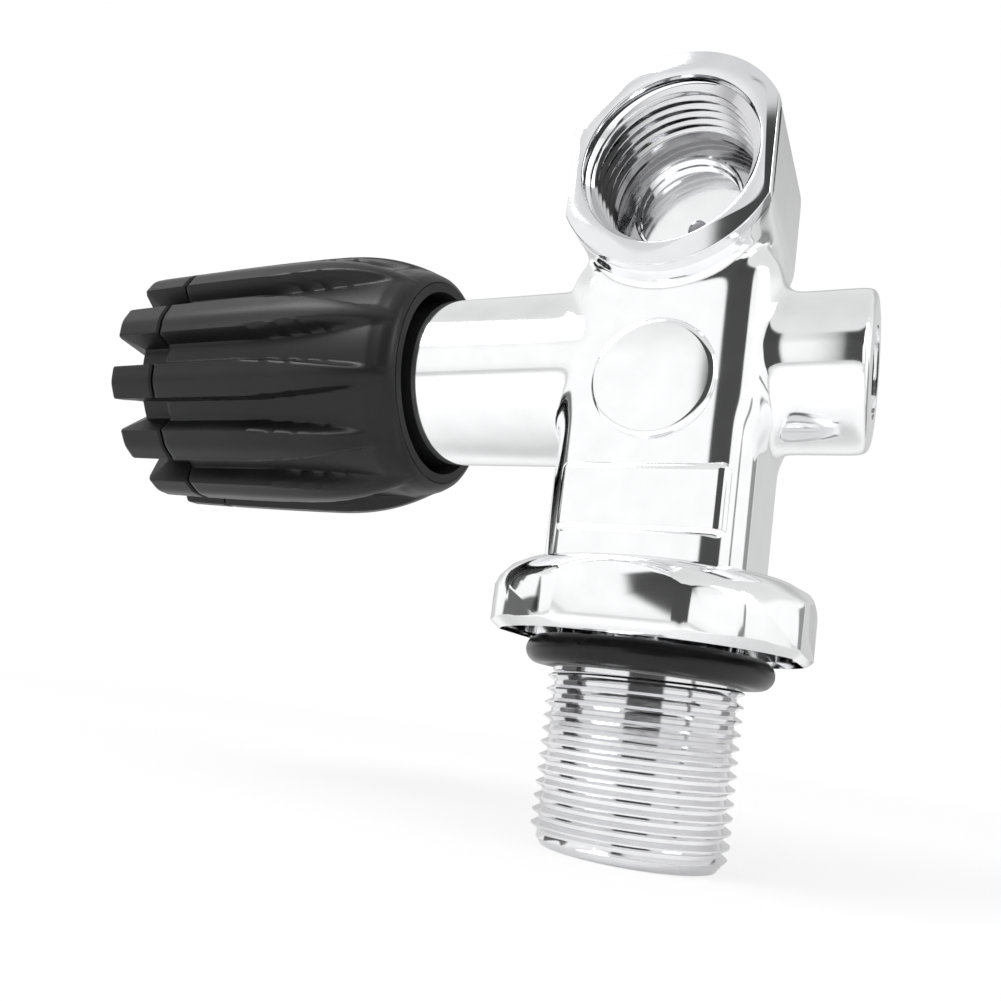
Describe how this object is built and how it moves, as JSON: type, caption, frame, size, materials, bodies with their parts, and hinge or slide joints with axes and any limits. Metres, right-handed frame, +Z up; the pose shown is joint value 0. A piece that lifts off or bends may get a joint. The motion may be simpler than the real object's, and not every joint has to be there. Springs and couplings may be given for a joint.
{
  "type": "scuba cylinder valve",
  "caption": "Chromed cylinder valve with a threaded inlet neck, wrench collar, threaded front outlet, side burst-disc stub and a ribbed rubber handwheel.",
  "frame": {"origin": "top of the full inlet thread, just below the neck seal's groove, on the thread's axis", "axes": "+Z up along the inlet thread, the outlet faces -Y, the handwheel is on -X"},
  "size_m": [0.1155, 0.0426, 0.1051],
  "materials": {
    "body_chrome": "polished",
    "plug_chrome": "polished",
    "plain_brass": "machined",
    "filter_bronze": "sintered",
    "copper_foil": "satin",
    "spring_steel": "satin",
    "seal_rubber": "satin",
    "grip_rubber": "satin",
    "cap_rubber": "satin",
    "core_plastic": "matte",
    "white_plastic": "matte"
  },
  "bodies": {
    "valve": {"valve_body": "body_chrome", "neck_o_ring": "seal_rubber", "inlet_filter": "filter_bronze", "filter_clip": "spring_steel", "seat_ring": "plain_brass", "bonnet": "plain_brass", "bonnet_o_ring": "seal_rubber", "burst_plug": "plug_chrome", "burst_disc": "copper_foil", "burst_gasket": "white_plastic"},
    "handwheel": {"stem": "plain_brass", "stem_o_rings": "seal_rubber", "thrust_washer": "white_plastic", "wheel_core": "core_plastic", "wheel_grip": "grip_rubber", "wheel_cap": "cap_rubber", "disc_springs": "spring_steel", "wheel_washer": "spring_steel", "wheel_nut": "spring_steel"},
    "seat": {"seat_carrier": "plain_brass", "seat_disc": "white_plastic"}
  },
  "joints": [
    {"name": "wheel_turn", "type": "hinge", "parent": "valve", "child": "handwheel", "pos_m": [-0.06, 0, 0.0432], "axis": [-1, 0, 0], "range_deg": [0, 720]},
    {"name": "seat_lift", "type": "slide", "parent": "handwheel", "child": "seat", "axis": [-1, 0, 0], "range_m": [0, 0.00305]}
  ],
  "couplings": [
    {"joint": "seat_lift", "follows": "wheel_turn", "m_per_rad": 0.00023873}
  ]
}
